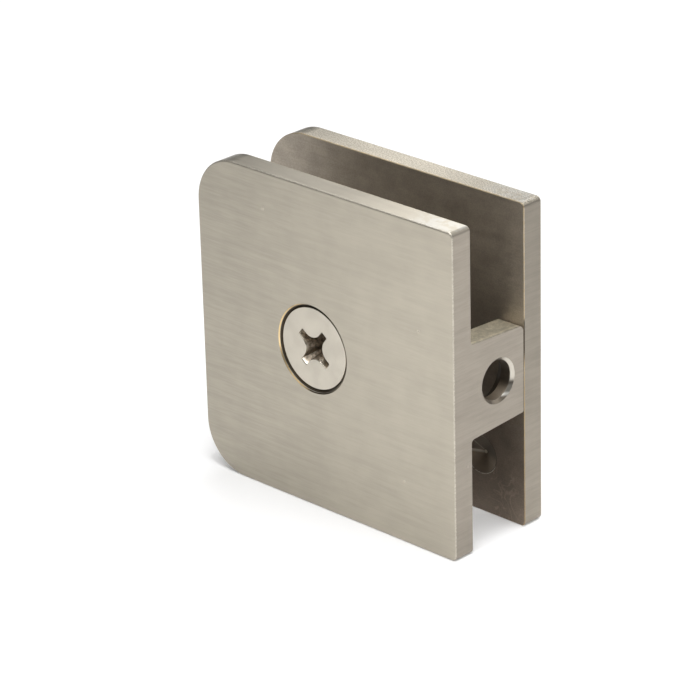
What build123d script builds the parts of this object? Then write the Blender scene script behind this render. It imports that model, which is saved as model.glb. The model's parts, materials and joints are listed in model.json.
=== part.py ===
"""Square u-clamp that holds the edge of a glass panel against a wall.

Frame: the origin is the centre of the wall face, on the axis of the wall bore.
+X points out of the wall face, +Z is up and Y runs across the glass. The plate
with the bridge lies on the -Y side and the cover plate on the +Y side.
Lengths are in millimetres and angles in degrees.
"""
from build123d import *
import os
from math import radians, tan

# Plates: a square with two large corners on the free side
plate_width = 50.0
plate_height = 50.0
plate_thickness = 3.7
free_corner_radius = 7.5
wall_corner_radius = 0.8
outer_edge_radius = 0.25
glass_edge_chamfer = 0.1

# Slot that takes the glass and its gaskets, and the bridge that closes it
glass_slot = 11.1
seam_gap = 0.1
bridge_height = 14.6
bridge_thickness = 4.1
bridge_draft = 3.0
bridge_root_radius = 0.5
bridge_nose_radius = 1.0
bridge_heel_radius = 0.3

# Bore for the wall screw, countersunk from the glass side
wall_bore_diameter = 6.0
wall_bore_land = 1.7
wall_bore_chamfer = 0.45
countersink_angle = 82.0

# Clamp screw: flat head with a cross recess
screw_from_wall = 27.4
screw_diameter = 6.35
screw_head_diameter = 12.6
screw_head_land = 0.25
screw_head_chamfer = 0.12
screw_seat_clearance = 0.05
screw_mouth_diameter = 13.7
screw_hole_diameter = 7.4
screw_end_chamfer = 0.6
screw_end_setback = 1.7

# Cross recess in the head of the clamp screw, turned as seen from outside
recess_reach = 3.4
recess_wing_width = 1.2
recess_flank_radius = 2.0
recess_depth = 3.2
recess_flank_taper = 6.0
recess_end_taper = 26.5
recess_turn = 51.5

# Tapped boss on the cover plate, which reaches through the hole in the glass
boss_diameter = 11.0
boss_draft = 1.5
boss_root_radius = 0.8
boss_edge_chamfer = 0.4
thread_clearance = 0.05
thread_mouth_chamfer = 0.5
thread_engagement = 5.3
thread_run_out = 1.5
drill_point_angle = 118.0

# Drill-point dimple in the glass side of the cover plate
dimple_from_wall = 8.4
dimple_below_middle = 16.0
dimple_diameter = 6.0
dimple_flat_diameter = 0.2
dimple_angle = 135.0

# Places that follow from the sizes above
near_inner_y = -glass_slot / 2
near_outer_y = near_inner_y - plate_thickness
cover_inner_y = glass_slot / 2
bridge_end_y = cover_inner_y - seam_gap
bridge_foot_y = near_inner_y - plate_thickness / 2
bridge_taper = (bridge_end_y - near_inner_y) * tan(radians(bridge_draft))
bridge_root_z = bridge_height / 2
bridge_end_z = bridge_root_z - bridge_taper
screw_x = -screw_from_wall
sink_slope = tan(radians(countersink_angle / 2))

# The head sits as deep in its countersink as the two diameters let it
head_radius = screw_head_diameter / 2
shank_radius = screw_diameter / 2
head_rim_depth = (screw_mouth_diameter / 2 - head_radius - screw_seat_clearance) / sink_slope
head_cone_y = near_outer_y + head_rim_depth
head_face_y = head_cone_y - screw_head_land
head_neck_y = head_cone_y + (head_radius - shank_radius) / sink_slope
screw_end_y = cover_inner_y - screw_end_setback
boss_end_y = screw_end_y - thread_engagement
boss_height = cover_inner_y - boss_end_y
thread_radius = shank_radius + thread_clearance
drill_shoulder_y = screw_end_y + thread_run_out
drill_point_y = drill_shoulder_y + thread_radius / tan(radians(drill_point_angle / 2))
screw_axis = Axis((screw_x, 0, 0), (0, 1, 0))
dimple_flat_radius = dimple_flat_diameter / 2
dimple_rim_radius = dimple_diameter / 2
dimple_depth = (dimple_rim_radius - dimple_flat_radius) / tan(radians(dimple_angle / 2))

# Half-width of the band in which an edge counts as lying in a plane
near = 0.01

os.makedirs("parts", exist_ok=True)


def facing_near(x, y, z):
    """Plane at a point that looks out to the near side (-Y), with +X to its right."""
    return Plane(origin=(x, y, z), x_dir=(1, 0, 0), z_dir=(0, -1, 0))


def facing_cover(x, y, z):
    """Plane at a point that looks towards the cover plate (+Y), with -X to its right."""
    return Plane(origin=(x, y, z), x_dir=(-1, 0, 0), z_dir=(0, 1, 0))


def plate_outline(y):
    """The outline that both plates share, on the plane Y = y."""
    with BuildSketch(facing_near(-plate_width / 2, y, 0)) as outline:
        Rectangle(plate_width, plate_height)
        fillet(outline.vertices().group_by(Axis.X)[0], radius=free_corner_radius)
        fillet(outline.vertices().group_by(Axis.X)[-1], radius=wall_corner_radius)
    return outline.sketch


def edges_across(plate, axis, place):
    """Edges of a plate whose middles lie where the axis reads place."""
    return plate.edges().filter_by_position(axis, place - near, place + near)


# Near plate and bridge: one casting, ground flush on the wall side
with BuildPart() as bridge_plate:
    extrude(plate_outline(near_inner_y), amount=plate_thickness)
    fillet(edges_across(bridge_plate, Axis.Y, near_outer_y), radius=outer_edge_radius)

    # The bridge tapers towards the cover plate, as a casting does
    with BuildSketch(Plane.YZ) as bridge_section:
        with BuildLine():
            Polyline(
                (bridge_foot_y, bridge_root_z),
                (near_inner_y, bridge_root_z),
                (bridge_end_y, bridge_end_z),
                (bridge_end_y, -bridge_end_z),
                (near_inner_y, -bridge_root_z),
                (bridge_foot_y, -bridge_root_z),
                close=True,
            )
        make_face()
        heel = bridge_section.vertices().sort_by_distance((bridge_end_y, -bridge_end_z))[0]
        fillet(heel, radius=bridge_heel_radius)
        nose = bridge_section.vertices().sort_by_distance((bridge_end_y, bridge_end_z))[0]
        fillet(nose, radius=bridge_nose_radius)
    extrude(amount=-bridge_thickness)

    # Cast radius round the foot of the bridge, inside the slot
    foot_middle = (-bridge_thickness / 2, near_inner_y, 0)
    foot = edges_across(bridge_plate, Axis.Y, near_inner_y)
    foot = foot.sort_by_distance(foot_middle)[:3]
    fillet(foot, radius=bridge_root_radius)

    # Broken edges: the wall face all round the slot, and the rim beside the glass
    wall_rim = edges_across(bridge_plate, Axis.X, 0)
    wall_rim = wall_rim.filter_by_position(Axis.Y, near_inner_y - near, bridge_end_y + near)
    glass_rim = edges_across(bridge_plate, Axis.Y, near_inner_y)
    glass_rim = glass_rim.sort_by_distance(foot_middle)[3:]
    chamfer(wall_rim + glass_rim, length=glass_edge_chamfer)

    # Countersunk hole for the clamp screw, from the outer face
    with Locations(facing_near(screw_x, near_outer_y, 0)):
        CounterSinkHole(
            radius=screw_hole_diameter / 2,
            counter_sink_radius=screw_mouth_diameter / 2,
            depth=plate_thickness,
            counter_sink_angle=countersink_angle,
        )

    # Wall bore: a straight land, opened by a countersink on the glass side
    bore_sink_depth = bridge_thickness - wall_bore_chamfer - wall_bore_land
    bore_sink_radius = wall_bore_diameter / 2 + bore_sink_depth * sink_slope
    with Locations(Plane(origin=(-bridge_thickness, 0, 0), z_dir=(-1, 0, 0))):
        CounterSinkHole(
            radius=wall_bore_diameter / 2,
            counter_sink_radius=bore_sink_radius,
            depth=bridge_thickness,
            counter_sink_angle=countersink_angle,
        )
    bore_mouth = edges_across(bridge_plate, Axis.X, 0).sort_by_distance((0, 0, 0))[0]
    chamfer(bore_mouth, length=wall_bore_chamfer)

# Cover plate: the same outline, with a tapped boss that reaches into the slot
with BuildPart() as cover_plate:
    extrude(plate_outline(cover_inner_y), amount=-plate_thickness)
    cover_rim = edges_across(cover_plate, Axis.Y, cover_inner_y + plate_thickness)
    fillet(cover_rim, radius=outer_edge_radius)
    chamfer(edges_across(cover_plate, Axis.Y, cover_inner_y), length=glass_edge_chamfer)

    with Locations(facing_near(screw_x, cover_inner_y, 0)):
        Cone(
            bottom_radius=boss_diameter / 2 + boss_height * tan(radians(boss_draft)),
            top_radius=boss_diameter / 2,
            height=boss_height,
            align=(Align.CENTER, Align.CENTER, Align.MIN),
        )
    boss_foot = edges_across(cover_plate, Axis.Y, cover_inner_y)
    fillet(boss_foot.sort_by_distance((screw_x, cover_inner_y, 0))[0], radius=boss_root_radius)
    chamfer(edges_across(cover_plate, Axis.Y, boss_end_y), length=boss_edge_chamfer)

    # Tapped hole for the clamp screw: drilled to a point that stops inside the plate
    with BuildSketch(Plane.XY) as drilled_section:
        with BuildLine():
            Polyline(
                (screw_x, boss_end_y),
                (screw_x + thread_radius + thread_mouth_chamfer, boss_end_y),
                (screw_x + thread_radius, boss_end_y + thread_mouth_chamfer),
                (screw_x + thread_radius, drill_shoulder_y),
                (screw_x, drill_point_y),
                close=True,
            )
        make_face()
    revolve(axis=screw_axis, mode=Mode.SUBTRACT)

    # Dimple left by the point of a drill
    dimple_x = -dimple_from_wall
    dimple_z = -dimple_below_middle
    with Locations(facing_near(dimple_x, cover_inner_y, dimple_z)):
        CounterSinkHole(
            radius=dimple_flat_radius,
            counter_sink_radius=dimple_diameter / 2,
            depth=dimple_depth,
            counter_sink_angle=dimple_angle,
        )

# Clamp screw: turned blank with a flat head, then the recess is punched into the head
with BuildPart() as recess_punch:
    with BuildSketch(facing_cover(screw_x, head_face_y, 0)) as recess_star:
        Rectangle(2 * recess_reach, recess_wing_width, rotation=-recess_turn)
        Rectangle(recess_wing_width, 2 * recess_reach, rotation=-recess_turn)
        inner_corners = recess_star.vertices().sort_by_distance((0, 0))[:4]
        fillet(inner_corners, radius=recess_flank_radius)
    extrude(amount=recess_depth, taper=recess_flank_taper)
    with Locations(facing_cover(screw_x, head_face_y, 0)):
        Cone(
            bottom_radius=recess_reach,
            top_radius=recess_reach - recess_depth * tan(radians(recess_end_taper)),
            height=recess_depth,
            align=(Align.CENTER, Align.CENTER, Align.MIN),
            mode=Mode.INTERSECT,
        )

with BuildPart() as clamp_screw:
    with BuildSketch(Plane.XY) as screw_section:
        with BuildLine():
            Polyline(
                (screw_x, head_face_y),
                (screw_x + head_radius, head_face_y),
                (screw_x + head_radius, head_cone_y),
                (screw_x + shank_radius, head_neck_y),
                (screw_x + shank_radius, screw_end_y - screw_end_chamfer),
                (screw_x + shank_radius - screw_end_chamfer, screw_end_y),
                (screw_x, screw_end_y),
                close=True,
            )
        make_face()
        head_edge = screw_section.vertices().sort_by_distance((screw_x + head_radius, head_face_y))[0]
        chamfer(head_edge, length=screw_head_chamfer)
    revolve(axis=screw_axis)
    add(recess_punch.part, mode=Mode.SUBTRACT)

bridge_plate.part.label = "bridge_plate"
cover_plate.part.label = "cover_plate"
clamp_screw.part.label = "clamp_screw"

export_step(bridge_plate.part, "parts/bridge_plate.step")
export_step(cover_plate.part, "parts/cover_plate.step")
export_step(clamp_screw.part, "parts/clamp_screw.step")
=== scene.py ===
# %% [markdown]
# Square u-clamp for a glass panel, in satin nickel.
# Three pieces make the object: the plate with the bridge, the cover plate and the
# clamp screw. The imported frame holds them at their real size, in metres, with +Z up
# and the wall face on the plane X = 0. This lesson dresses the two plates with a
# procedural finish, models the screw and its thread again by hand, and lights the
# whole as a small product photograph.

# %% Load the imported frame
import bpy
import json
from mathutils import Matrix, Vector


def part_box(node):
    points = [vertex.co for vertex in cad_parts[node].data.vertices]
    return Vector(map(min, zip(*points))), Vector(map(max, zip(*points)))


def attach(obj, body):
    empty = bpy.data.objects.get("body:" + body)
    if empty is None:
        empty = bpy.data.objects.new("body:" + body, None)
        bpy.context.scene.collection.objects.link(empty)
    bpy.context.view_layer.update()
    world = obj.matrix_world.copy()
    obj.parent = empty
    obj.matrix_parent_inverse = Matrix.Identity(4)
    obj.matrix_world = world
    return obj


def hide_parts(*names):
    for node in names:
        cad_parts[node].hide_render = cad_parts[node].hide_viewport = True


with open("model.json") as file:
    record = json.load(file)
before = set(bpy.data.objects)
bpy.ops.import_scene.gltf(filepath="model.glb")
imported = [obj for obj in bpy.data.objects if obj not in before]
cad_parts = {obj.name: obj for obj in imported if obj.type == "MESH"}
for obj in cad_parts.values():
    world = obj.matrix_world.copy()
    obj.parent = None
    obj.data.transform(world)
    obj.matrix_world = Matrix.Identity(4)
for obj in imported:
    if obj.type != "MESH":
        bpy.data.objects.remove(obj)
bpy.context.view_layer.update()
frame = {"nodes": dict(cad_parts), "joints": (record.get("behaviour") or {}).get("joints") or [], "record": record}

# %% Modules, and millimetres in metres
import json
from math import cos, pi, radians, sin, tan

import bpy
from mathutils import Matrix, Vector

mm = 0.001

# %% [markdown]
# Sizes come from the frame wherever it has them, so that a changed part is dressed
# again without any edit here. A node's box gives its outer sizes, and a mount gives
# the place of a face that lies inside the box.

# %% Places read from the frame
near_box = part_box("bridge_plate")
cover_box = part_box("cover_plate")
screw_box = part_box("clamp_screw")
mounts = {m["name"]: m for m in frame["record"]["mounts"]}
joints = {j["name"]: j for j in frame["joints"]}

near_outer_y = near_box[0].y
near_inner_y = mounts["glass_face_near"]["pos_m"][1]
cover_inner_y = -near_inner_y
boss_end_y = cover_box[0].y
screw_face_y = screw_box[0].y
screw_end_y = screw_box[1].y
floor_z = near_box[0].z
screw_x = joints["clamp_screw_turn"]["pos_m"][0]
slot_width = cover_inner_y - near_inner_y
print("slot", round(slot_width / mm, 3), "mm, screw axis at", round(screw_x / mm, 3), "mm")

# %% [markdown]
# The camera stands where the photograph was taken from: well to the right of the
# near plate, a little above it and about half a metre away. A long lens keeps the
# edges nearly parallel. Azimuth, elevation and roll turn a camera that first looks
# along +Y, which is easier to read than three Euler angles.

# %% Camera
camera_place = Vector((0.30058, -0.33737, 0.20488))
camera_azimuth = radians(44.321)
camera_elevation = radians(23.855)
camera_roll = radians(-1.436)
camera_lens = 181.95
nearest_drawn = 0.01
farthest_drawn = 20.0
part_middle = (near_box[0] + near_box[1]) / 2

camera_data = bpy.data.cameras.new("camera")
camera_data.lens = camera_lens
camera_data.clip_start = nearest_drawn
camera_data.clip_end = farthest_drawn
camera = bpy.data.objects.new("camera", camera_data)
bpy.context.scene.collection.objects.link(camera)
turned_round = Matrix.Rotation(camera_azimuth, 4, "Z")
tilted = Matrix.Rotation(pi / 2 - camera_elevation, 4, "X")
rolled = Matrix.Rotation(camera_roll, 4, "Z")
camera.matrix_world = Matrix.Translation(camera_place) @ turned_round @ tilted @ rolled
bpy.context.scene.camera = camera
bpy.context.scene.view_settings.view_transform = "Standard"
print("camera", round((camera_place - part_middle).length, 3), "m from the part")

# %% [markdown]
# The floor is one pale sheet that runs out of sight, so the part stands on white
# paper as in a catalogue. A slight glow of its own keeps the far paper white where
# the panels hardly reach. It is a stage piece and not part of the object.

# %% Floor
floor_half = 3.0
floor_gap = 0.02 * mm
paper_white = (0.80, 0.80, 0.80, 1)
paper_roughness = 0.9
paper_glow = 0.15

bpy.ops.mesh.primitive_plane_add(size=2 * floor_half, location=(0, 0, floor_z - floor_gap))
floor = bpy.context.active_object
floor.name = "floor"
floor_paint = bpy.data.materials.new("floor_paper")
floor_paint.use_nodes = True
floor_shader = floor_paint.node_tree.nodes["Principled BSDF"]
floor_shader.inputs["Base Color"].default_value = paper_white
floor_shader.inputs["Roughness"].default_value = paper_roughness
floor_shader.inputs["Emission Color"].default_value = (1, 1, 1, 1)
floor_shader.inputs["Emission Strength"].default_value = paper_glow
floor.data.materials.append(floor_paint)
print("floor", 2 * floor_half, "m wide")

# %% [markdown]
# Metal shows little of its own: what it shows is the room. The room here is a soft
# overhead panel that lights the paper, and a dim grey surround that keeps the slot
# dark. The camera itself sees the surround as white. Two panels behind the part and
# one at its left stand where the upper edges and the rounded corners mirror them. A
# wide spot with a soft edge brightens the paper in front, which the near face mirrors
# more and more from left to right, and so do all the edges that face the camera.

# %% Lights and surround
surround_grey = 0.20
panels = (  # name, place, target, width, height, power in watts
    ("overhead_panel", (0.22, -0.05, 0.72), (0.05, 0, 0), 0.8, 0.8, 6.6),
    ("back_panel", (-0.39, 0.72, 0.74), (0, 0, 0), 1.0, 0.5, 4.4),
    ("right_panel", (0.55, 0.84, 0.43), (0, 0, 0), 0.7, 0.8, 2.4),
    ("left_panel", (-0.64, -0.42, 0.62), (0, 0, 0), 0.5, 0.5, 0.7),
)
spot_place = (0.10, -0.20, 0.80)
spot_target = (0.06, -0.15, floor_z)
spot_power = 30.0
spot_angle = radians(25)
spot_radius = 0.10


def add_light(name, kind, place, target, power):
    """A light at a place that faces a target. Gives its data, where its shape is set."""
    data = bpy.data.lights.new(name, kind)
    data.energy = power
    light = bpy.data.objects.new(name, data)
    bpy.context.scene.collection.objects.link(light)
    faces_target = (Vector(target) - Vector(place)).to_track_quat("-Z", "Y").to_matrix().to_4x4()
    light.matrix_world = Matrix.Translation(place) @ faces_target
    return data


for name, place, target, width, height, power in panels:
    panel = add_light(name, "AREA", place, target, power)
    panel.shape = "RECTANGLE"
    panel.size = width
    panel.size_y = height

front_spot = add_light("front_spot", "SPOT", spot_place, spot_target, spot_power)
front_spot.spot_size = spot_angle
front_spot.spot_blend = 1.0
front_spot.shadow_soft_size = spot_radius

world = bpy.data.worlds.new("studio")
world.use_nodes = True
bpy.context.scene.world = world
sky = world.node_tree
seen = sky.nodes.new("ShaderNodeLightPath")
grey = sky.nodes["Background"]
grey.inputs["Color"].default_value = (surround_grey, surround_grey, surround_grey, 1)
white = sky.nodes.new("ShaderNodeBackground")
white.inputs["Color"].default_value = (1, 1, 1, 1)
either = sky.nodes.new("ShaderNodeMixShader")
sky.links.new(seen.outputs["Is Camera Ray"], either.inputs["Fac"])
sky.links.new(grey.outputs[0], either.inputs[1])
sky.links.new(white.outputs[0], either.inputs[2])
sky.links.new(either.outputs[0], sky.nodes["World Output"].inputs["Surface"])
print(len(bpy.data.lights), "lights")

# %% [markdown]
# Wiring shader nodes by code is long-winded, so a few small helpers do it. The
# first adds a node and fills its inputs, with a plain value or with another node's
# output. The next ones add the nodes that masks need most often, and the last
# three begin a node group, end it, and place it in a material.

# %% Node helpers


def add_node(tree, kind, inputs=None, **settings):
    """Adds a node, sets its properties, and wires or sets its inputs by name or number."""
    made = tree.nodes.new(kind)
    for name, value in settings.items():
        setattr(made, name, value)
    for name, value in (inputs or {}).items():
        if isinstance(value, bpy.types.NodeSocket):
            tree.links.new(value, made.inputs[name])
        else:
            made.inputs[name].default_value = value
    return made


def calc(tree, operation, *values):
    """The result of one Math node."""
    inputs = dict(enumerate(values))
    return add_node(tree, "ShaderNodeMath", inputs, operation=operation).outputs[0]


def vector_calc(tree, operation, *values):
    """The result of one Vector Math node: a vector, or a number for a length."""
    inputs = dict(enumerate(values))
    made = add_node(tree, "ShaderNodeVectorMath", inputs, operation=operation)
    return made.outputs["Value" if operation == "LENGTH" else "Vector"]


def fade(tree, value, start, end, low=0.0, high=1.0):
    """Runs smoothly from low to high while value runs from start to end."""
    inputs = {"Value": value, "From Min": start, "From Max": end, "To Min": low, "To Max": high}
    return add_node(tree, "ShaderNodeMapRange", inputs, interpolation_type="SMOOTHSTEP").outputs[0]


def mix(tree, share, low, high):
    """A number between low and high, by share."""
    inputs = {"Factor": share, 2: low, 3: high}
    return add_node(tree, "ShaderNodeMix", inputs, data_type="FLOAT").outputs[0]


def multiply(tree, *values):
    """The product of any number of masks."""
    product = values[0]
    for value in values[1:]:
        product = calc(tree, "MULTIPLY", product, value)
    return product


def invert(tree, mask):
    """A mask of everything that a mask leaves out."""
    return calc(tree, "SUBTRACT", 1.0, mask)


def band(tree, value, start, full, last, end):
    """A mask that rises from start to full, and falls again from last to end."""
    return multiply(tree, fade(tree, value, start, full), fade(tree, value, last, end, 1.0, 0.0))


def split(tree, vector):
    """The X, Y and Z of a vector."""
    return add_node(tree, "ShaderNodeSeparateXYZ", {0: vector}).outputs


def noise(tree, place, per_mm, detail, **more):
    """The value of a noise texture, sized in features per millimetre."""
    inputs = {"Vector": place, "Scale": per_mm, "Detail": detail, **more}
    return add_node(tree, "ShaderNodeTexNoise", inputs).outputs["Fac"]


def new_group(name, inputs, outputs):
    """An empty shader group: inputs are {name: value}, and outputs are names."""
    group = bpy.data.node_groups.new(name, "ShaderNodeTree")
    by_length = {1: "NodeSocketFloat", 3: "NodeSocketVector", 4: "NodeSocketColor"}
    by_name = {"Normal": "NodeSocketVector", "Color": "NodeSocketColor"}
    for label, value in inputs.items():
        kind = by_length[len(value) if isinstance(value, tuple) else 1]
        socket = group.interface.new_socket(label, in_out="INPUT", socket_type=kind)
        socket.default_value = value
    for label in outputs:
        kind = by_name.get(label, "NodeSocketFloat")
        group.interface.new_socket(label, in_out="OUTPUT", socket_type=kind)
    given = group.nodes.new("NodeGroupInput").outputs
    return group, given, group.nodes.new("NodeGroupOutput").inputs


def end_group(group, result, **values):
    """Links the outputs of a group by name, and gives the group."""
    for label, value in values.items():
        group.links.new(value, result[label])
    print(group.name, "has", len(group.nodes), "nodes")
    return group


def place_group(tree, group, inputs):
    """Places a group in a material with its own values, and gives its outputs."""
    return add_node(tree, "ShaderNodeGroup", inputs, node_tree=group).outputs


# %% [markdown]
# Satin nickel is drawn over a belt: thousands of fine scratches lie side by side
# along one direction. A noise that is squeezed across the scratches and stretched
# along them gives both their height and a slight change of tone. The group takes
# the squeeze as a vector in lines per millimetre, so that each face can have its
# own direction. Few of the scratches are deep: a second, coarser noise lets them
# stand out here and there.

# %% Group: belt lines
broad_scale = 0.27

tree, given, result = new_group(
    "belt lines",
    {"Place": (0.0, 0.0, 0.0), "Lines per mm": (0.08, 0.08, 4.0)},
    ["Height", "Tone"],
)
squeezed = vector_calc(tree, "MULTIPLY", given["Place"], given["Lines per mm"])
fine_lines = noise(tree, squeezed, 1.0, 3.0)
broad_lines = noise(tree, squeezed, broad_scale, 2.0)
line_tone = mix(tree, 0.5, fine_lines, broad_lines)
belt_lines = end_group(tree, result, Height=fine_lines, Tone=line_tone)

# %% [markdown]
# The plates were finished side by side, each its own way: the broad outer faces and
# the wall faces along the belt, the rim around its run, and the sides that face the
# glass hardly at all. This group sorts a point of the surface by the way it faces,
# which works on any mesh and needs no painting. Rounded and chamfered edges face
# between two sides, and that is how the group finds them too. A side that faces the
# wall from inside the slot is no wall face, so the place of the point counts as well.

# %% Group: side sorter
wall_reach_mm = -1.0
slot_half_mm = 5.7

tree, given, result = new_group(
    "side sorter",
    {"Facing": (0.0, 0.0, 0.0), "Place": (0.0, 0.0, 0.0)},
    ["Broad", "Wall", "Rim", "Edge", "Slot"],
)
facing = split(tree, given["Facing"])
place = split(tree, given["Place"])
across = calc(tree, "ABSOLUTE", facing["Y"])
is_broad = fade(tree, across, 0.75, 0.95)
is_wall = multiply(tree, fade(tree, facing["X"], 0.75, 0.95),
                   calc(tree, "GREATER_THAN", place["X"], wall_reach_mm))
is_rim = invert(tree, calc(tree, "MAXIMUM", is_broad, is_wall))
is_edge = band(tree, across, 0.08, 0.3, 0.85, 0.97)
within = calc(tree, "LESS_THAN", calc(tree, "ABSOLUTE", place["Y"]), slot_half_mm)
is_slot = multiply(tree, within, invert(tree, is_wall))
side_sorter = end_group(tree, result, Broad=is_broad, Wall=is_wall, Rim=is_rim, Edge=is_edge,
                        Slot=is_slot)

# %% [markdown]
# A drill, a countersink and a lathe all leave rings round their axis. The group
# measures the distance from an axis that runs along Y and draws rings of an uneven
# depth. The distance itself comes out too, because materials need it as a mask.

# %% Group: tool rings
tree, given, result = new_group(
    "tool rings",
    {"Place": (0.0, 0.0, 0.0), "Centre": (0.0, 0.0, 0.0), "Rings per mm": 6.0},
    ["Height", "Radius"],
)
from_centre = vector_calc(tree, "SUBTRACT", given["Place"], given["Centre"])
radius = vector_calc(tree, "LENGTH", vector_calc(tree, "MULTIPLY", from_centre, (1.0, 0.0, 1.0)))
ring_number = multiply(tree, radius, given["Rings per mm"])
ring_place = add_node(tree, "ShaderNodeCombineXYZ", {0: ring_number}).outputs[0]
tool_rings = end_group(tree, result, Height=noise(tree, ring_place, 1.0, 2.0), Radius=radius)

# %% [markdown]
# Handling leaves a few bright nicks and dull spots on a plated face. They are small
# cells that are kept only where a random number says so. The share of kept cells is
# an input, and so are their size and their number per millimetre.

# %% Group: scattered spots
spot_core = 0.4

tree, given, result = new_group(
    "scattered spots",
    {"Place": (0.0, 0.0, 0.0), "Spots per mm": 0.5, "Size": 0.15, "Share": 0.2},
    ["Mask"],
)
cell_inputs = {"Vector": given["Place"], "Scale": given["Spots per mm"]}
cells = add_node(tree, "ShaderNodeTexVoronoi", cell_inputs).outputs
draw = add_node(tree, "ShaderNodeSeparateColor", {0: cells["Color"]}).outputs[0]
kept = calc(tree, "LESS_THAN", draw, given["Share"])
core_size = multiply(tree, given["Size"], spot_core)
spot = fade(tree, cells["Distance"], core_size, given["Size"], 1.0, 0.0)
scattered_spots = end_group(tree, result, Mask=multiply(tree, kept, spot))

# %% [markdown]
# Belt grinding never leaves a face quite flat. It tips the surface by a few degrees
# from the free end to the wall end, and although no ruler would find that, the
# reflections do. A mesh could carry such a crown only with many more faces, so the
# group tips the shading normal instead. It takes the tip at the free end, in the
# middle and at the wall end, each as a slope.

# %% Group: crown
plate_length_mm = (near_box[1].x - near_box[0].x) / mm

tree, given, result = new_group(
    "crown",
    {"Facing": (0.0, 0.0, 1.0), "Place": (0.0, 0.0, 0.0),
     "Free End": 0.0, "Middle": 0.0, "Wall End": 0.0},
    ["Normal"],
)
along = split(tree, given["Place"])["X"]
to_middle = fade(tree, along, -plate_length_mm, -plate_length_mm / 2)
to_wall = fade(tree, along, -plate_length_mm / 2, 0.0)
slope = mix(tree, to_middle, given["Free End"], given["Middle"])
slope = mix(tree, to_wall, slope, given["Wall End"])
tip = add_node(tree, "ShaderNodeCombineXYZ", {"X": slope}).outputs[0]
tipped = vector_calc(tree, "NORMALIZE", vector_calc(tree, "ADD", given["Facing"], tip))
crown = end_group(tree, result, Normal=tipped)

# %% [markdown]
# A metal has no colour but the share of white light that it mirrors back, so the
# colours below are those of nickel in its different states, and several of them are
# painted light and shade. The broad faces are plain nickel. The slot is a little
# warmer, and painted darker towards its foot as shade. The far wall, the top of the
# bridge and the end of the upper rim are darker or lighter copies of nickel, painted
# for the light that falls on them. Thin edges show worn plating, down to the brass
# beneath it, and on the bridge plate they are painted light as a highlight. Holes are
# painted dark as shade over a little tarnish, and some colours are painted highlights
# and glints.

# %% Metals
nickel = (0.41, 0.375, 0.31, 1)
near_wall_nickel = (0.325, 0.290, 0.244, 1)
far_wall_shaded_nickel = (0.292, 0.262, 0.218, 1)
top_end_highlight = (0.46, 0.44, 0.395, 1)
lit_bridge_top_nickel = (0.53, 0.49, 0.39, 1)
slot_nickel = (0.450, 0.400, 0.335, 1)
slot_low_shade = (0.245, 0.200, 0.160, 1)
highlight_nickel = (0.62, 0.58, 0.50, 1)
lit_chamfer_nickel = (0.50, 0.465, 0.405, 1)
worn_edge = (0.42, 0.30, 0.13, 1)
worn_lip_highlight = (0.40, 0.33, 0.235, 1)
brass = (0.74, 0.55, 0.29, 1)
tarnish_and_shade = (0.17, 0.145, 0.115, 1)
mouth_shade = (0.060, 0.048, 0.034, 1)
dimple_shade = (0.24, 0.20, 0.155, 1)
painted_shade = (0.07, 0.055, 0.04, 1)
glint = (0.90, 0.87, 0.80, 1)
print("plain nickel mirrors back", nickel[:3], "and burnished nickel", glint[:3])

# %% [markdown]
# Three more helpers handle colours and whole materials. Every material here starts
# the same way: fully metallic, with its object coordinates turned into millimetres,
# because sizes in millimetres are easier to read than fractions of a metre.

# %% Colour and material helpers


def colour_mix(tree, share, low, high, **settings):
    """A colour between low and high, by share."""
    inputs = {"Factor": share, 6: low, 7: high}
    return add_node(tree, "ShaderNodeMix", inputs, data_type="RGBA", **settings).outputs[2]


def shaded(tree, colour, tone):
    """A colour made darker or lighter by a tone near 1."""
    return colour_mix(tree, 1.0, colour, tone, blend_type="MULTIPLY")


def start_metal(name):
    """A metallic material: itself, its tree and shader, and a point's place (mm) and facing."""
    material = bpy.data.materials.new(name)
    material.use_nodes = True
    tree = material.node_tree
    shader = tree.nodes["Principled BSDF"]
    shader.inputs["Metallic"].default_value = 1.0
    coordinates = add_node(tree, "ShaderNodeTexCoord").outputs
    place = vector_calc(tree, "SCALE", coordinates["Object"])
    place.node.inputs["Scale"].default_value = 1 / mm
    return material, tree, shader, place, coordinates["Normal"]


# %% [markdown]
# Satin nickel is the finish that both plates share, so it is one group. It is built
# up over the next cells. It starts with the masks that everything else needs: which
# side a point is on, and a fine grit and two slow mottles to break up flat tones.
# In all masks a place is given in millimetres, and a facing runs from -1 to 1.

# %% Group: satin nickel, its masks
grit_per_mm = 5.0
mottle_per_mm = 0.35
top_mottle_per_mm = 1.1

tree, given, result = new_group(
    "satin nickel",
    {"Place": (0.0, 0.0, 0.0), "Facing": (0.0, 0.0, 1.0), "Rim Grit": 1.0, "Wall Metal": nickel,
     "Wall Low": 1.0, "Wall High": 1.0, "Edge Metal": brass},
    ["Color", "Tone", "Roughness", "Height"],
)
place = given["Place"]
where = split(tree, place)
faces = split(tree, given["Facing"])
sides = place_group(tree, side_sorter, {"Facing": given["Facing"], "Place": place})
outside = invert(tree, sides["Slot"])
free_rim = multiply(tree, sides["Rim"], outside)
on_top = multiply(tree, free_rim, fade(tree, faces["Z"], 0.4, 0.8, 0.3, 1.0))
rounded = band(tree, faces["X"], 0.05, 0.25, 0.90, 0.98)
grit = noise(tree, place, grit_per_mm, 2.0)
mottle = noise(tree, place, mottle_per_mm, 4.0)
top_mottle = noise(tree, place, top_mottle_per_mm, 3.0)
speckle = fade(tree, grit, 0.35, 0.65, 0.93, 1.07)
print("masks of", tree.name, "take", len(tree.nodes), "nodes")

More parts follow.
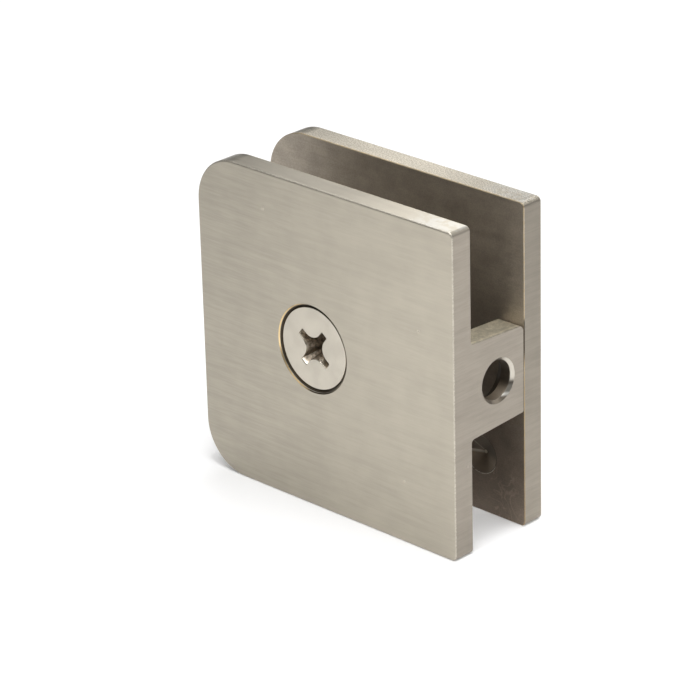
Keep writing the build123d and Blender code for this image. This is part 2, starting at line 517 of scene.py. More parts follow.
# %% [markdown]
# No brush reaches into the slot, so its walls keep the skin of the casting: speckled
# and unevenly plated, with a paler patch at the free end. The strip by the wall end is
# painted lighter as light that falls in there, and the slot is painted darker towards
# its foot as shade. Near the wall, fingers and glue have left curled smears. They
# follow one level line of a distorted noise.

# %% Satin nickel: colour in the slot
patch_waves_mm = 2.5
smears_per_mm = 0.32
smear_curl = 1.6
smear_width = 0.05
smear_strength = 0.34

wavy_x = calc(tree, "MULTIPLY_ADD", mottle, patch_waves_mm, where["X"])
curls = noise(tree, place, smears_per_mm, 1.0, Distortion=smear_curl)
off_level = calc(tree, "ABSOLUTE", calc(tree, "SUBTRACT", curls, 0.5))
smears = multiply(
    tree, fade(tree, off_level, 0.0, smear_width, smear_strength, 0.0),
    fade(tree, where["X"], -8.0, -5.0), fade(tree, where["X"], -2.4, -1.2, 1.0, 0.2),
    fade(tree, where["Z"], -18.5, -16.5, 1.0, 0.12),
)
# Painted light: the strip by the wall end of the slot is lighter; the rest of this tone is speckle, smears and
# mottle.
slot_tone_and_light = multiply(
    tree, speckle, calc(tree, "ADD", 1.0, smears), fade(tree, mottle, 0.3, 0.7, 0.94, 1.06),
    fade(tree, wavy_x, -37.0, -35.6, 0.93, 0.90), fade(tree, where["X"], -34.0, -22.0, 1.0, 1.06),
    fade(tree, where["X"], -4.0, -0.5, 1.0, 1.15),
)
# Painted shade: the slot darkens towards its foot.
slot_shade_height = fade(tree, where["Z"], -22.0, 14.0)
slot_colour = shaded(tree, colour_mix(tree, slot_shade_height, slot_low_shade, slot_nickel), slot_tone_and_light)
print("with the slot,", tree.name, "takes", len(tree.nodes), "nodes")

# %% [markdown]
# The colour is then laid on side by side, from the largest areas to the smallest:
# broad faces, darker towards the free end as painted shade; wall face, with painted
# shade along its height; slot; top of the bridge, painted lighter with a painted
# highlight band and a dark line by the wall; the end of the upper rim, painted
# brighter as a highlight; the sparkle of the grit; the rounded corners, darkened as
# painted shade; and last the worn edges, which on the bridge plate are painted light
# as a highlight.

# %% Satin nickel: colour of all sides
sparkle_share = 0.06
corner_shade_tone = 0.72
wear_share = 0.7

# Painted shade: the broad faces darken towards the free end.
colour = shaded(tree, nickel, fade(tree, where["X"], -50.0, -12.0, 0.90, 1.02))
# Painted shade: the wall face darkens along its height, downwards on the plate with the bridge and upwards on the
# cover plate.
wall_shade_tone = fade(tree, where["Z"], -25.0, 25.0, given["Wall Low"], given["Wall High"])
colour = colour_mix(tree, sides["Wall"], colour, shaded(tree, given["Wall Metal"], wall_shade_tone))
colour = colour_mix(tree, sides["Slot"], colour, slot_colour)

# Painted light: the top of the bridge is lighter, with a painted highlight band and a painted dark line by the
# wall edge.
bridge_top = multiply(tree, sides["Slot"], fade(tree, faces["Z"], 0.6, 0.9))
bridge_top_light = multiply(
    tree, fade(tree, top_mottle, 0.35, 0.65, 0.86, 1.12), speckle,
    fade(tree, where["X"], -0.9, -0.55, 1.0, 1.22), fade(tree, where["X"], -0.35, -0.1, 1.0, 0.6),
)
colour = colour_mix(tree, bridge_top, colour, shaded(tree, lit_bridge_top_nickel, bridge_top_light))
# Painted highlight: the upper rim is brighter in patches towards the wall end.
lit_top_end = multiply(tree, free_rim, fade(tree, faces["Z"], 0.7, 0.9),
                   fade(tree, where["X"], -10.0, -5.0), fade(tree, top_mottle, 0.40, 0.55))
colour = colour_mix(tree, lit_top_end, colour, top_end_highlight)

sparkle_depth = multiply(tree, given["Rim Grit"], sparkle_share)
sparkle = fade(tree, grit, 0.40, 0.60, invert(tree, sparkle_depth),
               calc(tree, "ADD", 1.0, sparkle_depth))
colour = shaded(tree, colour, mix(tree, on_top, 1.0, sparkle))
# Painted shade: the upper rounded corners are darkened to tone down what they mirror.
darkened_corner = multiply(tree, rounded, calc(tree, "GREATER_THAN", faces["Z"], 0.1))
colour = shaded(tree, colour, mix(tree, darkened_corner, 1.0, corner_shade_tone))
# Worn edges take the edge metal: brass on the cover plate, and on the bridge plate a light nickel that is a
# painted highlight.
edge_wear_and_sheen = multiply(tree, sides["Edge"], fade(tree, grit, 0.42, 0.60, 0.35, 1.0), wear_share)
colour = colour_mix(tree, edge_wear_and_sheen, colour, given["Edge Metal"])
print("with its colours,", tree.name, "takes", len(tree.nodes), "nodes")

# %% [markdown]
# The brush gives a tone of its own that lies over all colours, so it leaves the
# group by itself, together with slow blotches and a few bright nicks. Roughness and
# height follow the same lines: along the belt on the faces, round the rim at the
# rim, and a faint grain everywhere.

# %% Satin nickel: tone, roughness and height
belt_squeeze = (0.27, 0.3, 4.8)
rim_squeeze = (0.4, 5.0, 0.4)
blotches_per_mm = 0.25
brushed_roughness = 0.36
cast_roughness = 0.55
rim_roughness = 0.34
edge_roughness = 0.48
nicks_per_mm = 0.30
nick_size = 0.10
nick_share = 0.10
nick_tone = 0.2
nick_polish = -0.15
faint_grain = 0.15

belt = place_group(tree, belt_lines, {"Place": place, "Lines per mm": belt_squeeze})
run = place_group(tree, belt_lines, {"Place": place, "Lines per mm": rim_squeeze})
nicks = place_group(tree, scattered_spots, {
    "Place": place, "Spots per mm": nicks_per_mm, "Size": nick_size, "Share": nick_share,
})["Mask"]
lines_tone = mix(tree, sides["Rim"], belt["Tone"], run["Tone"])
strength = mix(tree, sides["Wall"], fade(tree, where["X"], -50.0, -20.0, 1.6, 1.0), 1.5)
blotches = fade(tree, noise(tree, place, blotches_per_mm, 3.0), 0.3, 0.7, 0.97, 1.03)
tone = calc(tree, "MULTIPLY_ADD", fade(tree, lines_tone, 0.3, 0.7, -0.06, 0.05), strength, blotches)
tone = calc(tree, "MULTIPLY_ADD", nicks, nick_tone, tone)

roughness = mix(tree, sides["Slot"], brushed_roughness, cast_roughness)
roughness = mix(tree, free_rim, roughness, rim_roughness)
roughness = calc(tree, "ADD", roughness, fade(tree, lines_tone, 0.3, 0.7, -0.03, 0.03))
roughness = calc(tree, "MULTIPLY_ADD", nicks, nick_polish, roughness)
roughness = mix(tree, calc(tree, "MAXIMUM", rounded, sides["Edge"]), roughness, edge_roughness)

lines = multiply(tree, mix(tree, sides["Rim"], belt["Height"], run["Height"]), outside)
grains = calc(tree, "MULTIPLY_ADD", on_top, given["Rim Grit"], faint_grain)
height = calc(tree, "MULTIPLY_ADD", grit, grains, lines)
satin = end_group(tree, result, Color=colour, Tone=tone, Roughness=roughness, Height=height)

# %% [markdown]
# Three places on the plates have marks of their own, partly real and partly painted
# light and shade, and each is a group that takes the colour so far and gives it back
# changed. The first is the mouth of the clamp screw. It was countersunk after casting,
# so rings run round its wall, which is painted nearly black as shade in the gap round
# the head. Its lip is worn to the brass on the side of the free end, a bright line that
# is also a painted highlight; the middle of the lip is painted dark as shade, and the
# side at the wall is painted lighter as a highlight.

# %% Group: screw mouth
mouth_radius_mm = 6.85
mouth_foot_mm = 4.0
screw_x_mm = screw_x / mm

tree, given, result = new_group(
    "screw mouth", {"Place": (0.0, 0.0, 0.0), "Color": nickel}, ["Color", "Inside", "Lip"]
)
where = split(tree, given["Place"])
from_screw = calc(tree, "SUBTRACT", where["X"], screw_x_mm)
depth = calc(tree, "SUBTRACT", where["Y"], near_outer_y / mm)
rings = place_group(tree, tool_rings,
                    {"Place": given["Place"], "Centre": (screw_x_mm, 0.0, 0.0)})
inside = multiply(
    tree, calc(tree, "LESS_THAN", rings["Radius"], mouth_radius_mm - 0.01),
    fade(tree, depth, 0.16, 0.26), calc(tree, "LESS_THAN", depth, mouth_foot_mm),
    fade(tree, from_screw, 2.0, 6.0, 1.0, 0.5),
)
# Painted shade: the countersunk wall is painted nearly black, less so towards the wall.
ringed = shaded(tree, mouth_shade, fade(tree, rings["Height"], 0.35, 0.65, 0.6, 1.7))
colour = colour_mix(tree, inside, given["Color"], ringed)
lip = multiply(tree, calc(tree, "COMPARE", rings["Radius"], mouth_radius_mm - 0.1, 0.12),
               band(tree, depth, 0.0, 0.01, 0.14, 0.20))
# Lip: worn brass that is also a painted highlight towards the free end, painted shade in the middle, a painted
# highlight towards the wall.
lip_colour = colour_mix(tree, fade(tree, from_screw, -2.5, -0.5), brass, mouth_shade)
lip_colour = colour_mix(tree, fade(tree, from_screw, 3.0, 5.0), lip_colour, worn_lip_highlight)
colour = colour_mix(tree, lip, colour, lip_colour)
screw_mouth = end_group(tree, result, Color=colour, Inside=inside, Lip=lip)

# %% [markdown]
# The chamfer of the bore for the wall screw is painted as it takes the light: a lit
# crescent, a dark break where it turns from the light, and a small painted glint. Behind
# it lie a tarnished land, painted darker as shade and lighter along its foot as painted
# light, and a countersink painted dark as shade.

# %% Group: wall bore
bore_radius_mm = mounts["wall_bore"]["dims"]["r_mm"]
bore_lip_mm = 0.6
land_starts_mm = (-0.5, -0.4)
sink_middle_mm = -3.3
sink_half_mm = 1.2
sink_radius_mm = 5.5

tree, given, result = new_group(
    "wall bore", {"Place": (0.0, 0.0, 0.0), "Color": nickel, "Wall": 0.0, "Across": 0.0},
    ["Color", "Inside", "Lip"],
)
where = split(tree, given["Place"])
off_axis = vector_calc(tree, "MULTIPLY", given["Place"], (0.0, 1.0, 1.0))
from_bore = vector_calc(tree, "LENGTH", off_axis)
inside = multiply(tree, calc(tree, "LESS_THAN", from_bore, bore_radius_mm + 0.02),
                  fade(tree, where["X"], *land_starts_mm, 1.0, 0.0))
# Painted shade and light: the land inside the bore is dark, and lighter along its foot.
land = shaded(tree, tarnish_and_shade, fade(tree, where["Z"], -2.9, -1.0, 2.6, 1.0))
colour = colour_mix(tree, inside, given["Color"], land)
# Painted shade: the countersink behind the bore is painted dark.
behind = multiply(tree, calc(tree, "COMPARE", where["X"], sink_middle_mm, sink_half_mm),
                  calc(tree, "LESS_THAN", from_bore, sink_radius_mm),
                  fade(tree, given["Across"], 0.9, 0.95, 1.0, 0.0))
colour = colour_mix(tree, behind, colour, painted_shade)

lip = multiply(tree, calc(tree, "LESS_THAN", from_bore, bore_radius_mm + bore_lip_mm),
               fade(tree, where["X"], *land_starts_mm), invert(tree, given["Wall"]))
# Painted light: a lit crescent on the chamfer, a dark break in it, and a small painted glint.
lip_side = calc(tree, "MULTIPLY_ADD", where["Y"], 0.5, where["Z"])
bright = multiply(tree, fade(tree, lip_side, -2.4, -0.9),
                  fade(tree, where["Y"], 0.0, 1.8, 0.3, 1.0))
lip_colour = colour_mix(tree, bright, tarnish_and_shade, lit_chamfer_nickel)
dark_break = multiply(tree, band(tree, where["Z"], -1.8, -1.3, -1.3, -0.8),
                  fade(tree, where["Y"], 1.5, 2.5, 0.0, 0.7))
lip_colour = colour_mix(tree, dark_break, lip_colour, painted_shade)
glint_spot = multiply(tree, band(tree, where["Z"], -3.0, -2.65, -2.65, -2.3),
                  calc(tree, "GREATER_THAN", where["Y"], 1.0))
lip_colour = colour_mix(tree, glint_spot, lip_colour, glint)
colour = colour_mix(tree, lip, colour, lip_colour)
wall_bore = end_group(tree, result, Color=colour, Inside=inside, Lip=lip)

# %% [markdown]
# The dimple in the cover plate was left by the point of a drill. Its wall is painted
# dark as shade, darker above than below. Two painted reflections lead from the side
# into a painted highlight at its tip, and a painted highlight runs along the lower half
# of its lip. Painted shade lies under the lip on the side of the wall.

# %% Group: drill dimple
dimple_centre = (-8.4, 0.0, -16.0)
dimple_radius_mm = 3.0
dimple_y_mm = 6.4

tree, given, result = new_group(
    "drill dimple", {"Place": (0.0, 0.0, 0.0), "Color": nickel}, ["Color", "Inside", "Radius"]
)
where = split(tree, given["Place"])
radius = place_group(tree, tool_rings,
                     {"Place": given["Place"], "Centre": dimple_centre})["Radius"]
tip_x = calc(tree, "SUBTRACT", where["X"], dimple_centre[0])
tip_z = calc(tree, "SUBTRACT", where["Z"], dimple_centre[2])
near_dimple = calc(tree, "COMPARE", where["Y"], dimple_y_mm, 1.0)
inside = multiply(tree, near_dimple, fade(tree, radius, dimple_radius_mm - 0.15,
                                          dimple_radius_mm - 0.05, 1.0, 0.0))
# Painted shade: the cone is dark, darker above than below.
cone = shaded(tree, dimple_shade, fade(tree, tip_z, -1.2, 0.8, 1.35, 0.55))
# Painted reflections: two rays lead into the tip, which is a painted highlight.
level_reflection = band(tree, tip_z, -0.40, -0.05, 0.10, 0.16)
slant = calc(tree, "ABSOLUTE", calc(tree, "ADD", tip_x, tip_z))
slant_reflection = fade(tree, slant, 0.08, 0.16, 0.35, 0.0)
reflection_rays = multiply(tree, calc(tree, "LESS_THAN", tip_x, 0.0),
                calc(tree, "MAXIMUM", level_reflection, slant_reflection), 0.5)
cone = colour_mix(tree, reflection_rays, cone, highlight_nickel)
cone = colour_mix(tree, fade(tree, radius, 0.20, 0.40, 1.0, 0.0), cone, highlight_nickel)
colour = colour_mix(tree, inside, given["Color"], cone)

# Painted shade under the lip on the side of the wall.
shade = multiply(tree, near_dimple, calc(tree, "COMPARE", radius, dimple_radius_mm - 0.05, 0.10),
                 fade(tree, tip_x, 1.0, 2.0), 0.7)
colour = colour_mix(tree, shade, colour, painted_shade)
# Painted highlight along the lower half of the lip.
lip = multiply(tree, near_dimple, calc(tree, "COMPARE", radius, dimple_radius_mm, 0.07),
               fade(tree, tip_z, -1.6, -0.9, 1.0, 0.0),
               fade(tree, noise(tree, given["Place"], grit_per_mm, 2.0), 0.40, 0.50))
colour = colour_mix(tree, lip, colour, highlight_nickel)
drill_dimple = end_group(tree, result, Color=colour, Inside=inside, Radius=radius)

# %% [markdown]
# A plate's material now only has to place the groups. What is left for it is the
# shader: the colour under its tone, the roughness, and one Bump node that takes all
# the fine relief and starts from the crowned normal.

# %% Helpers: close a plate's material, and dress a node
relief_depth = 0.004 * mm
flat_crown_share = 0.4


def close_plate(tree, shader, place, sides, satin_out, colour, roughness, tips):
    """Wires colour, roughness and relief. Tips are slopes at free end, middle and wall end."""
    tree.links.new(shaded(tree, colour, satin_out["Tone"]), shader.inputs["Base Color"])
    tree.links.new(roughness, shader.inputs["Roughness"])
    crown_share = fade(tree, sides["Broad"], 0.0, 1.0, 1.0, flat_crown_share)
    crowned = place_group(tree, crown, {
        "Facing": add_node(tree, "ShaderNodeNewGeometry").outputs["Normal"], "Place": place,
        "Free End": tips[0], "Middle": tips[1], "Wall End": multiply(tree, tips[2], crown_share),
    })["Normal"]
    relief = add_node(tree, "ShaderNodeBump", {
        "Height": satin_out["Height"], "Normal": crowned, "Strength": 1.0,
        "Distance": relief_depth,
    }).outputs["Normal"]
    tree.links.new(relief, shader.inputs["Normal"])


def dress(name, material):
    """Puts a material on every slot of a node of the frame."""
    for slot in frame["nodes"][name].material_slots:
        slot.material = material
    print(name, "wears", material.name)


# %% Finish of the plate with the bridge
unbrushed_roughness = 0.50
lip_roughness = 0.28
near_tips = (-0.08, 0.0, 0.14)

material, tree, shader, place, facing = start_metal("bridge_plate_finish")
sides = place_group(tree, side_sorter, {"Facing": facing, "Place": place})
# Painted light and shade: this plate's wall face darkens downwards, and its worn edges are painted light nickel as
# a highlight.
satin_out = place_group(tree, satin, {
    "Place": place, "Facing": facing, "Rim Grit": 0.3, "Wall Metal": near_wall_nickel,
    "Wall Low": 0.89, "Wall High": 1.03, "Edge Metal": highlight_nickel,
})
across = calc(tree, "ABSOLUTE", split(tree, facing)["Y"])
bore = place_group(tree, wall_bore, {
    "Place": place, "Color": satin_out["Color"], "Wall": sides["Wall"], "Across": across,
})
mouth = place_group(tree, screw_mouth, {"Place": place, "Color": bore["Color"]})
unbrushed = calc(tree, "MAXIMUM", mouth["Inside"], bore["Inside"])
lips = calc(tree, "MAXIMUM", mouth["Lip"], bore["Lip"])
roughness = mix(tree, unbrushed, satin_out["Roughness"], unbrushed_roughness)
roughness = mix(tree, lips, roughness, lip_roughness)
close_plate(tree, shader, place, sides, satin_out, mouth["Color"], roughness, near_tips)
dress("bridge_plate", material)

# %% [markdown]
# The cover plate was ground less carefully. The top of its rim sparkles, its inner
# edge is worn to the brass, and the seam where it meets the upper half of the bridge
# is painted dark as the shadow of a gap.

# %% Finish of the cover plate
cover_inner_mm = cover_inner_y / mm
cover_tips = (0.0, 0.10, 0.0)

material, tree, shader, place, facing = start_metal("cover_plate_finish")
where = split(tree, place)
sides = place_group(tree, side_sorter, {"Facing": facing, "Place": place})
# Painted shade: the cover plate's wall colour is a darker copy of nickel, and it darkens upwards.
satin_out = place_group(tree, satin, {
    "Place": place, "Facing": facing, "Rim Grit": 5.0, "Wall Metal": far_wall_shaded_nickel,
    "Wall Low": 1.0, "Wall High": 0.89, "Edge Metal": worn_edge,
})
dimple = place_group(tree, drill_dimple, {"Place": place, "Color": satin_out["Color"]})
# Painted shadow: the seam with the upper half of the bridge is painted dark.
seam_shadow = multiply(tree, calc(tree, "COMPARE", where["Y"], cover_inner_mm, 1.0), sides["Edge"],
                     fade(tree, where["X"], -0.5, -0.3), band(tree, where["Z"], 0.0, 3.0, 7.0, 8.0))
colour = colour_mix(tree, seam_shadow, dimple["Color"], painted_shade)
inner_edge = fade(tree, where["Y"], cover_inner_mm + 0.1, cover_inner_mm + 0.45, 1.0, 0.0)
edge_wear = multiply(tree, calc(tree, "GREATER_THAN", where["Y"], 0.0), inner_edge, sides["Rim"],
                     invert(tree, sides["Slot"]),
                     fade(tree, noise(tree, place, grit_per_mm, 2.0), 0.46, 0.56), wear_share)
colour = colour_mix(tree, edge_wear, colour, brass)
cone_roughness = fade(tree, dimple["Radius"], 0.3, 0.5, 0.9, 0.50)
roughness = mix(tree, dimple["Inside"], satin_out["Roughness"], cone_roughness)
close_plate(tree, shader, place, sides, satin_out, colour, roughness, cover_tips)
dress("cover_plate", material)

# %% [markdown]
# The screw was turned, plated and tumbled, so it is smoother and brighter than the
# plates, with faint rings from the lathe. Its recess was punched, which leaves the
# walls grainy and darker, and they are painted darker still with depth as shade.

# %% Finish of the screw
bright_nickel = (0.468, 0.432, 0.368, 1)
punched_dark_and_shade = (0.34, 0.29, 0.23, 1)
punched_roughness = 0.46
punched_grain_per_mm = 2.5
clouds_per_mm = 0.4
recess_reach_mm = 3.8
recess_depth_mm = 3.4
ring_depth = 0.001 * mm

screw_nickel, tree, shader, place = start_metal("clamp_screw_finish")[:4]
rings = place_group(tree, tool_rings, {"Place": place, "Centre": (screw_x_mm, 0.0, 0.0)})
depth = calc(tree, "SUBTRACT", split(tree, place)["Y"], screw_face_y / mm)
# Painted shade: the recess darkens from its rim towards its depth.
in_recess = multiply(tree, fade(tree, depth, 0.1, 0.6),
                     calc(tree, "LESS_THAN", rings["Radius"], recess_reach_mm),
                     calc(tree, "LESS_THAN", depth, recess_depth_mm))
grain = fade(tree, noise(tree, place, punched_grain_per_mm, 3.0), 0.38, 0.62, 0.65, 1.45)
clouds = fade(tree, noise(tree, place, clouds_per_mm, 2.0), 0.3, 0.7, 0.95, 1.05)
colour = colour_mix(tree, in_recess, shaded(tree, bright_nickel, clouds),
                    shaded(tree, punched_dark_and_shade, grain))
tree.links.new(colour, shader.inputs["Base Color"])
smooth = fade(tree, rings["Height"], 0.3, 0.7, 0.18, 0.24)
tree.links.new(mix(tree, in_recess, smooth, punched_roughness), shader.inputs["Roughness"])
relief = {"Height": rings["Height"], "Strength": 1.0, "Distance": ring_depth}
bump = add_node(tree, "ShaderNodeBump", relief)
tree.links.new(bump.outputs["Normal"], shader.inputs["Normal"])
print(screw_nickel.name, "has", len(tree.nodes), "nodes")

# %% [markdown]
# The clamp screw is the one piece whose mesh needs more than the frame holds: a
# thread, a crisp cross recess and a rounded rim. It is modelled again the way it is
# made. First comes the turned blank. A disc is extruded along the axis from station
# to station and resized at each, just as a lathe works along a bar. A spun profile
# would give the same solid, but extruding keeps every ring where it can be named.

# %% Sizes of the screw
head_radius = (screw_box[1].x - screw_box[0].x) / 2
head_rim_radius = 0.14 * mm
head_land = 0.25 * mm
head_angle = radians(82.0)
shank_radius = 3.175 * mm
shank_end_chamfer = 0.6 * mm
head_cone_y = screw_face_y + head_land
head_neck_y = head_cone_y + (head_radius - shank_radius) / tan(head_angle / 2)
circle_steps = 96
print("head", round(2 * head_radius / mm, 2), "mm, neck at", round(head_neck_y / mm, 2), "mm")

# %% Helper: a solid turned about the screw's axis


def turned(name, stations):
    """A solid of revolution about the screw's axis. Its stations are (y, radius)."""
    y, radius = stations[0]
    bpy.ops.mesh.primitive_circle_add(
        vertices=circle_steps, radius=radius, fill_type="NGON",
        location=(screw_x, y, 0), rotation=(pi / 2, 0, 0),
    )
    solid = bpy.context.active_object
    solid.name = name
    bpy.ops.object.mode_set(mode="EDIT")
    for next_y, next_radius in stations[1:]:
        bpy.ops.mesh.extrude_region_move(TRANSFORM_OT_translate={"value": (0, next_y - y, 0)})
        share = next_radius / radius
        middle = (screw_x, next_y, 0)
        bpy.ops.transform.resize(value=(share, share, share), center_override=middle)
        y, radius = next_y, next_radius
    bpy.ops.mesh.select_all(action="SELECT")
    bpy.ops.mesh.normals_make_consistent(inside=False)
    bpy.ops.object.mode_set(mode="OBJECT")
    bpy.ops.object.transform_apply()
    return solid


# %% Turn the blank
rim_steps = 5
rim = []
for step in range(rim_steps + 1):
    angle = pi / 2 * step / rim_steps
    rim.append((screw_face_y + head_rim_radius * (1 - cos(angle)),
                head_radius - head_rim_radius * (1 - sin(angle))))
clamp_screw = turned("screw_dressed", rim + [
    (head_cone_y, head_radius),
    (head_neck_y, shank_radius),
    (screw_end_y - shank_end_chamfer, shank_radius),
    (screw_end_y, shank_radius - shank_end_chamfer),
])
print("blank", len(clamp_screw.data.polygons), "faces")

# %% [markdown]
# The cross recess is punched. Its punch starts as a cube as wide as a wing. The
# four sides are extruded into wings, the inner corners are bevelled to a hollow,
# and the far end is drawn in. A cone then trims the tips of the wings, because that
# is the shape a real punch leaves. Boolean modifiers do the trimming and the
# punching, and are applied at once.

# %% Helpers: boolean and selection by place


def select_only(solid):
    """Makes a solid the only selected object, and the active one."""
    bpy.ops.object.select_all(action="DESELECT")
    solid.select_set(True)
    bpy.context.view_layer.objects.active = solid


def combine(solid, tool, operation):
    """Cuts or trims a solid with a tool, and deletes the tool."""
    cut = solid.modifiers.new(operation, "BOOLEAN")
    cut.operation = operation
    cut.object = tool
    cut.solver = "EXACT"
    select_only(solid)
    bpy.ops.object.modifier_apply(modifier=cut.name)
    bpy.data.objects.remove(tool)


def choose(solid, part, wanted):
    """Enters edit mode with the verts, edges or faces selected that wanted() accepts."""
    select_only(solid)
    bpy.ops.object.mode_set(mode="EDIT")
    bpy.ops.mesh.select_mode(type=part)
    bpy.ops.mesh.select_all(action="DESELECT")
    bpy.ops.object.mode_set(mode="OBJECT")
    mesh = solid.data
    for item in {"VERT": mesh.vertices, "EDGE": mesh.edges, "FACE": mesh.polygons}[part]:
        item.select = wanted(item)
    bpy.ops.object.mode_set(mode="EDIT")


# %% Sizes of the punch
wing_width = 1.2 * mm
wing_length = 4.2 * mm
hollow_radius = 2.0 * mm
hollow_steps = 10
punch_depth = 3.2 * mm
punch_above = 0.1 * mm
punch_narrows = 0.44
tip_radius = 3.4 * mm
tip_slope = tan(radians(26.5))
recess_turn = radians(51.5)
weld_distance = 0.001 * mm
same_place = 0.001 * mm
punch_length = punch_depth + punch_above
punch_middle = (0, 0, (punch_above - punch_depth) / 2)
print("punch", round(punch_length / mm, 2), "mm long")

# %% Model the punch
bpy.ops.mesh.primitive_cube_add(size=1, location=punch_middle,
                                scale=(wing_width, wing_width, punch_length))
punch = bpy.context.active_object
bpy.ops.object.transform_apply()
choose(punch, "FACE", lambda face: abs(face.normal.z) < 0.5)
bpy.ops.mesh.extrude_faces_move(
    TRANSFORM_OT_shrink_fatten={"value": wing_length - wing_width / 2})
bpy.ops.object.mode_set(mode="OBJECT")


def is_inner_corner(edge):
    """True for the four upright edges between the wings."""
    ends = [punch.data.vertices[i].co for i in edge.vertices]
    upright = abs(ends[0].z - ends[1].z) > punch_depth / 2
    return upright and all(
        abs(abs(side) - wing_width / 2) < same_place for end in ends for side in (end.x, end.y))


choose(punch, "EDGE", is_inner_corner)
bpy.ops.mesh.bevel(offset=hollow_radius, segments=hollow_steps)
bpy.ops.object.mode_set(mode="OBJECT")
choose(punch, "VERT", lambda vert: vert.co.z < -punch_depth / 2)
bpy.ops.transform.resize(value=(punch_narrows, punch_narrows, 1), center_override=(0, 0, 0))
bpy.ops.mesh.select_all(action="SELECT")
bpy.ops.mesh.remove_doubles(threshold=weld_distance)
bpy.ops.mesh.normals_make_consistent(inside=False)
bpy.ops.object.mode_set(mode="OBJECT")

bpy.ops.mesh.primitive_cone_add(
    vertices=circle_steps, depth=punch_length, location=punch_middle,
    radius1=tip_radius - punch_depth * tip_slope, radius2=tip_radius + punch_above * tip_slope,
)
combine(punch, bpy.context.active_object, "INTERSECT")
turn = Matrix(((cos(recess_turn), -sin(recess_turn), 0),
               (0, 0, -1),
               (sin(recess_turn), cos(recess_turn), 0)))
punch.matrix_world = Matrix.Translation((screw_x, screw_face_y, 0)) @ turn.to_4x4()
select_only(punch)
bpy.ops.object.transform_apply()
print("punch", len(punch.data.polygons), "faces")

# %% Punch the recess and round its rim
recess_rim = 0.09 * mm
rim_rounding_steps = 3
combine(clamp_screw, punch, "DIFFERENCE")


def is_recess_rim(edge):
    """True for the edges of the recess that lie in the face of the head."""
    ends = [clamp_screw.data.vertices[i].co for i in edge.vertices]
    in_face = all(abs(end.y - screw_face_y) < same_place for end in ends)
    return in_face and all(
        Vector((end.x - screw_x, end.z)).length < head_radius * 0.8 for end in ends)


choose(clamp_screw, "EDGE", is_recess_rim)
bpy.ops.mesh.bevel(offset=recess_rim, segments=rim_rounding_steps)
bpy.ops.object.mode_set(mode="OBJECT")
print("punched head", len(clamp_screw.data.polygons), "faces")

# %% [markdown]
# A thread is a V that climbs one pitch each turn. The Screw modifier sweeps a small
# trapezoid round the axis for both threads: the groove of the screw and the ridge
# in the tapped boss. They start a whole number of pitches apart, so they mesh, and
# they stay meshed as the screw turns. The groove fades out towards the head, where a
# cone is taken off its cutter, and the ridge is chamfered at its mouth the same way.

# %% Helper: a threaded sweep
thread_pitch = 1.27 * mm
thread_steps = 48
thread_angle = radians(60.0)


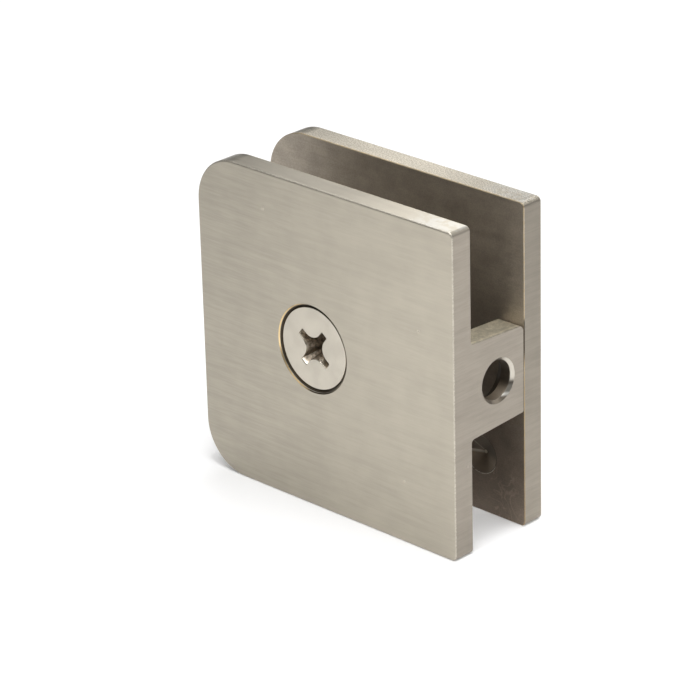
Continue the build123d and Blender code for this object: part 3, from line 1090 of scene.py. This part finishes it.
def helix(name, inner_radius, inner_half, outer_radius, start_y, turns):
    """A ridge round the screw's axis: a trapezoid that is swept along it."""
    outer_half = inner_half + (outer_radius - inner_radius) * tan(thread_angle / 2)
    bpy.ops.mesh.primitive_plane_add(size=1, rotation=(pi / 2, 0, 0))
    sweep = bpy.context.active_object
    sweep.name = name
    bpy.ops.object.transform_apply()
    for vert in sweep.data.vertices:
        is_outer = vert.co.x > 0
        vert.co.x = outer_radius if is_outer else inner_radius
        vert.co.z = (outer_half if is_outer else inner_half) * (1 if vert.co.z > 0 else -1)
    bpy.ops.object.mode_set(mode="EDIT")
    bpy.ops.mesh.select_all(action="SELECT")
    bpy.ops.mesh.delete(type="ONLY_FACE")
    bpy.ops.object.mode_set(mode="OBJECT")
    coil = sweep.modifiers.new("coil", "SCREW")
    coil.axis = "Z"
    coil.angle = 2 * pi
    coil.screw_offset = thread_pitch
    coil.iterations = turns
    coil.steps = thread_steps
    coil.render_steps = thread_steps
    bpy.ops.object.modifier_apply(modifier=coil.name)
    bpy.ops.object.mode_set(mode="EDIT")
    bpy.ops.mesh.select_all(action="SELECT")
    bpy.ops.mesh.remove_doubles(threshold=weld_distance)
    bpy.ops.mesh.fill_holes(sides=4)
    bpy.ops.mesh.normals_make_consistent(inside=False)
    bpy.ops.object.mode_set(mode="OBJECT")
    along_y = Matrix(((1, 0, 0), (0, 0, 1), (0, -1, 0)))
    sweep.matrix_world = Matrix.Translation((screw_x, start_y, 0)) @ along_y.to_4x4()
    bpy.ops.object.transform_apply()
    return sweep


# %% Cut the screw's thread
groove_root = 2.40 * mm
groove_root_half = 0.10 * mm
groove_reach = shank_radius + 0.08 * mm
groove_turns = 8
groove_start_y = head_neck_y - 0.3 * mm
fade_margin = 0.1 * mm
groove = helix("groove", groove_root, groove_root_half, groove_reach, groove_start_y, groove_turns)
fade_cone = turned("fade_cone", [
    (groove_start_y - thread_pitch, 2 * shank_radius),
    (head_neck_y, shank_radius + fade_margin),
    (head_neck_y + thread_pitch, groove_root - fade_margin),
])
combine(groove, fade_cone, "DIFFERENCE")
combine(clamp_screw, groove, "DIFFERENCE")
print("threaded screw", len(clamp_screw.data.polygons), "faces")

# %% Raise the thread in the boss
tap_root = shank_radius + 0.09 * mm
tap_crest = 2.52 * mm
tap_crest_half = 0.10 * mm
tap_turns = 4
pitches_apart = 3
tap_start_y = groove_start_y + pitches_apart * thread_pitch
mouth_radius = shank_radius + 0.55 * mm
mouth_cone_tip = 2 * mm
boss_thread = helix("boss_thread", tap_crest, tap_crest_half, tap_root, tap_start_y, tap_turns)
mouth_cone = turned("mouth_cone", [
    (boss_end_y - 2 * thread_pitch, mouth_radius + 2 * thread_pitch),
    (boss_end_y, mouth_radius),
    (boss_end_y + mouth_radius - mouth_cone_tip, mouth_cone_tip),
])
combine(boss_thread, mouth_cone, "DIFFERENCE")
print("boss thread", len(boss_thread.data.polygons), "faces")

# %% Seat the new pieces
smooth_under = radians(35)
cover_nickel = bpy.data.materials["cover_plate_finish"]
for piece, finish in ((clamp_screw, screw_nickel), (boss_thread, cover_nickel)):
    select_only(piece)
    bpy.ops.object.shade_smooth_by_angle(angle=smooth_under)
    piece.data.materials.clear()
    piece.data.materials.append(finish)
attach(clamp_screw, "clamp_screw")
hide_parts("clamp_screw")
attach(boss_thread, "cover_plate")
